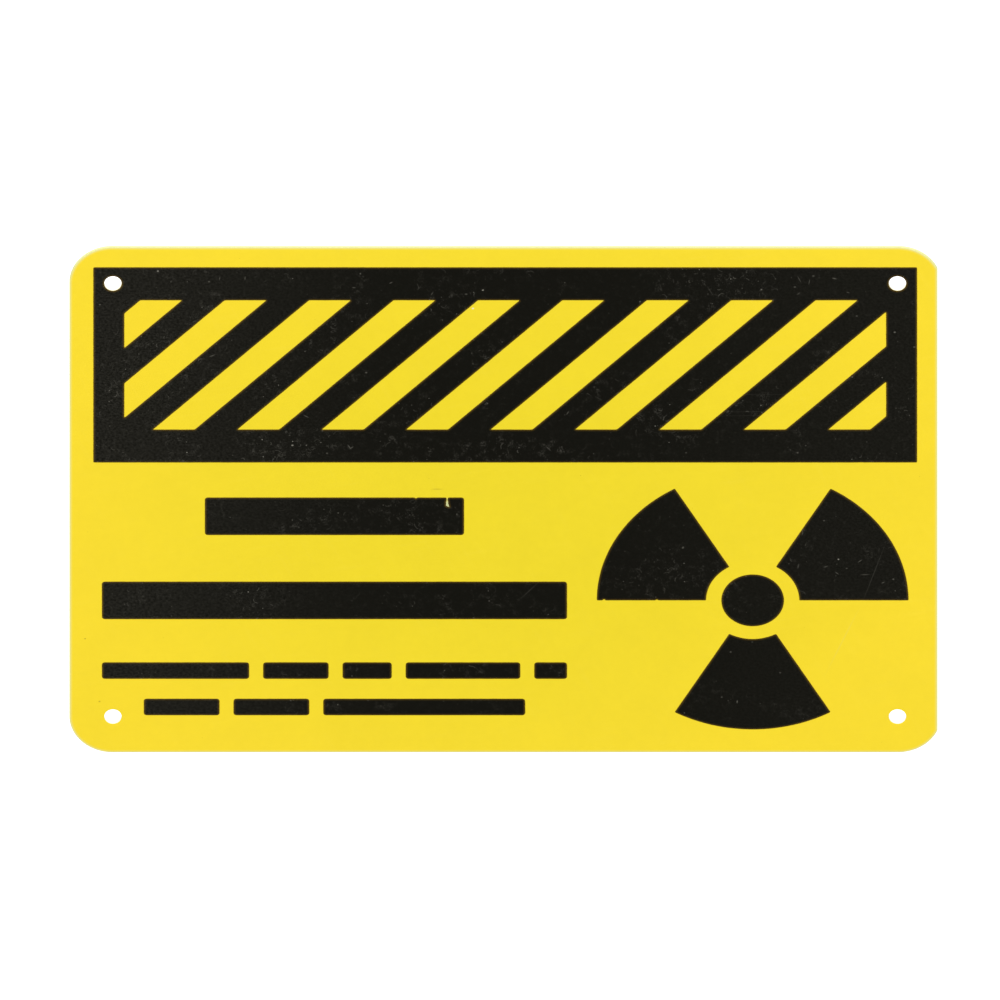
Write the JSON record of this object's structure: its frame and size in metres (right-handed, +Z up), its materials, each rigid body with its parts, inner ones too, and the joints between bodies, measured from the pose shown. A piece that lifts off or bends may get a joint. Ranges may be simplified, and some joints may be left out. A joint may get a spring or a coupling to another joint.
{
  "type": "radiation warning sign",
  "caption": "Wall sign: a thin yellow plastic sheet with rounded corners and corner screw holes, printed in black with a slant-striped header, a trefoil and plain bars.",
  "frame": {"origin": "centre of the four screw holes, at the sheet's back face", "axes": "+X to the right as the sign is read, +Y out of the back towards the wall, +Z up; the face looks towards -Y"},
  "size_m": [0.253, 0.0011, 0.1778],
  "materials": {
    "yellow_sheet": "satin, coloured through",
    "black_ink": "screen-printed ink, semi-gloss"
  },
  "bodies": {
    "root": {"sheet": "yellow_sheet", "header_print": "black_ink", "trefoil_print": "black_ink", "message_print": "black_ink"}
  },
  "joints": []
}
